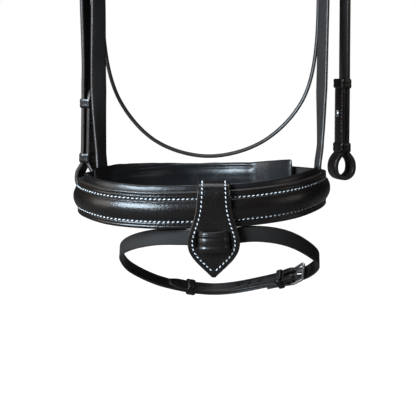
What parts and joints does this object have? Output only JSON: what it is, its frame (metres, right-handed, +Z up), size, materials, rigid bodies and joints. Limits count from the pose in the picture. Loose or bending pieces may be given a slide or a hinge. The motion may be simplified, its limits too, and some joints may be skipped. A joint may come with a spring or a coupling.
{
  "type": "horse bridle",
  "caption": "Black leather bridle with a padded crown, browband, throatlash, hook stud cheekpieces and a raised noseband with a flash strap.",
  "frame": {"origin": "middle of the crown pad's underside, where the bridle rests on the poll", "axes": "+Z up, straps hanging along -Z, the noseband's front towards -Y, +X to the viewer's right"},
  "size_m": [0.246, 0.1766, 0.5527],
  "materials": {
    "leather_black": "smooth finished leather with a low sheen and dark painted edges",
    "leather_inner": "matt inner side of the chin pad",
    "leather_soft": "soft padded leather",
    "steel": "polished stainless steel"
  },
  "bodies": {
    "crown": {"headpiece_pad": "leather_soft", "headpiece_strap": "leather_black", "noseband_hanger": "leather_black", "sliphead_buckle": "steel", "sliphead_keeper": "leather_black", "sliphead_strap": "leather_black"},
    "cheek_left": {"cheekpiece_left": "leather_black", "cheek_billet_left": "leather_black", "cheek_left_buckle": "steel", "cheek_left_keeper": "leather_black", "cheek_left_lower_keeper": "leather_black", "cheek_left_upper_keeper": "leather_black", "cheek_left_hook_stud": "steel"},
    "cheek_left_tongue": {"cheek_left_tongue": "steel"},
    "cheek_left_runner": {"cheek_left_runner": "leather_black"},
    "cheek_right": {"cheekpiece_right": "leather_black", "cheek_billet_right": "leather_black", "cheek_right_buckle": "steel", "cheek_right_keeper": "leather_black", "cheek_right_lower_keeper": "leather_black", "cheek_right_upper_keeper": "leather_black", "cheek_right_hook_stud": "steel"},
    "cheek_right_tongue": {"cheek_right_tongue": "steel"},
    "cheek_right_runner": {"cheek_right_runner": "leather_black"},
    "throatlash": {"throatlash_strap": "leather_black", "throat_billet_left": "leather_black", "throat_left_buckle": "steel", "throat_left_keeper": "leather_black", "throat_billet_right": "leather_black", "throat_right_buckle": "steel", "throat_right_keeper": "leather_black"},
    "throat_left_tongue": {"throat_left_tongue": "steel"},
    "throat_left_runner": {"throat_left_runner": "leather_black"},
    "throat_right_tongue": {"throat_right_tongue": "steel"},
    "throat_right_runner": {"throat_right_runner": "leather_black"},
    "sliphead_tongue": {"sliphead_tongue": "steel"},
    "sliphead_runner": {"sliphead_runner": "leather_black"},
    "browband": {"browband_strap": "leather_black", "browband_lining": "leather_soft"},
    "noseband": {"noseband_leather": "leather_black", "noseband_backing": "leather_black", "noseband_swell_core": "leather_soft", "noseband_lining": "leather_soft", "noseband_rear_strap": "leather_black", "noseband_rear_billet": "leather_black", "noseband_buckle": "steel", "noseband_keeper": "leather_black", "chin_pad": "leather_inner", "flash_tab": "leather_black"},
    "noseband_tongue": {"noseband_tongue": "steel"},
    "noseband_runner": {"noseband_runner": "leather_black"},
    "flash": {"flash_strap": "leather_black", "flash_buckle": "steel", "flash_keeper": "leather_black", "flash_loop": "leather_black"},
    "flash_tongue": {"flash_tongue": "steel"},
    "flash_runner": {"flash_runner": "leather_black"}
  },
  "joints": [
    {"name": "cheek_left_swing", "type": "hinge", "parent": "crown", "child": "cheek_left", "pos_m": [-0.1092, -0.00926, -0.18156], "axis": [0.3746, 0.9272, 0.0019], "range_deg": [0, 10]},
    {"name": "cheek_left_tongue_turn", "type": "hinge", "parent": "cheek_left", "child": "cheek_left_tongue", "pos_m": [-0.11001, -0.009, -0.2], "axis": [-0.3681, -0.9298, -0.0005], "range_deg": [0, 30]},
    {"name": "cheek_left_runner_slide", "type": "slide", "parent": "cheek_left", "child": "cheek_left_runner", "axis": [0.0248, 0, -0.9997], "range_m": [-0.009, 0.005]},
    {"name": "cheek_right_swing", "type": "hinge", "parent": "crown", "child": "cheek_right", "pos_m": [0.11213, -0.00926, -0.18156], "axis": [0.3746, -0.9272, 0.0025], "range_deg": [-1, 10]},
    {"name": "cheek_right_tongue_turn", "type": "hinge", "parent": "cheek_right", "child": "cheek_right_tongue", "pos_m": [0.11297, -0.009, -0.2], "axis": [-0.3681, 0.9298, -0.0023], "range_deg": [0, 30]},
    {"name": "cheek_right_runner_slide", "type": "slide", "parent": "cheek_right", "child": "cheek_right_runner", "axis": [-0.0023, 0, -1], "range_m": [-0.009, 0.005]},
    {"name": "throatlash_swing", "type": "hinge", "parent": "crown", "child": "throatlash", "pos_m": [-0.00177, 0.011, -0.18155], "axis": [1, 0, 0], "range_deg": [-3.5, 5]},
    {"name": "throat_left_tongue_turn", "type": "hinge", "parent": "throatlash", "child": "throat_left_tongue", "pos_m": [-0.09855, 0.011, -0.2], "axis": [0, -1, 0], "range_deg": [0, 20]},
    {"name": "throat_left_runner_slide", "type": "slide", "parent": "throatlash", "child": "throat_left_runner", "axis": [0.0284, 0, -0.9996], "range_m": [-0.006, 0.004]},
    {"name": "throat_right_tongue_turn", "type": "hinge", "parent": "throatlash", "child": "throat_right_tongue", "pos_m": [0.0939, 0.011, -0.2], "axis": [0, 1, 0], "range_deg": [0, 20]},
    {"name": "throat_right_runner_slide", "type": "slide", "parent": "throatlash", "child": "throat_right_runner", "axis": [-0.0192, 0, -0.9998], "range_m": [-0.006, 0.004]},
    {"name": "sliphead_tongue_turn", "type": "hinge", "parent": "crown", "child": "sliphead_tongue", "pos_m": [-0.09697, -0.01102, -0.238], "axis": [-0.5425, -0.8374, 0.0664], "range_deg": [0, 10]},
    {"name": "sliphead_runner_slide", "type": "slide", "parent": "crown", "child": "sliphead_runner", "axis": [-0.0122, -0.0761, -0.997], "range_m": [-0.002, 0.003]},
    {"name": "browband_slide", "type": "slide", "parent": "crown", "child": "browband", "axis": [0, 0, 1], "range_m": [-0.004, 0.004]},
    {"name": "noseband_swing", "type": "hinge", "parent": "crown", "child": "noseband", "pos_m": [0, -0.03839, -0.4412], "axis": [1, 0, 0], "range_deg": [-4, 4], "stiffness_Nm_per_rad": 4},
    {"name": "noseband_tongue_turn", "type": "hinge", "parent": "noseband", "child": "noseband_tongue", "pos_m": [-0.02167, 0.02879, -0.44183], "axis": [-0.0333, -0.004, 0.9994], "range_deg": [0, 28]},
    {"name": "noseband_runner_slide", "type": "slide", "parent": "noseband", "child": "noseband_runner", "axis": [-0.8728, -0.4871, -0.0294], "range_m": [-0.004, 0.004]},
    {"name": "flash_swing", "type": "hinge", "parent": "noseband", "child": "flash", "pos_m": [0.001, -0.131, -0.4735], "axis": [1, 0, 0], "range_deg": [-1.5, 1], "stiffness_Nm_per_rad": 1},
    {"name": "flash_tongue_turn", "type": "hinge", "parent": "flash", "child": "flash_tongue", "pos_m": [0.06931, -0.03031, -0.51983], "axis": [-0.1297, -0.7193, -0.6825], "range_deg": [0, 55]},
    {"name": "flash_runner_slide", "type": "slide", "parent": "flash", "child": "flash_runner", "axis": [-0.9658, -0.1829, 0.1837], "range_m": [-0.004, 0.004]}
  ]
}
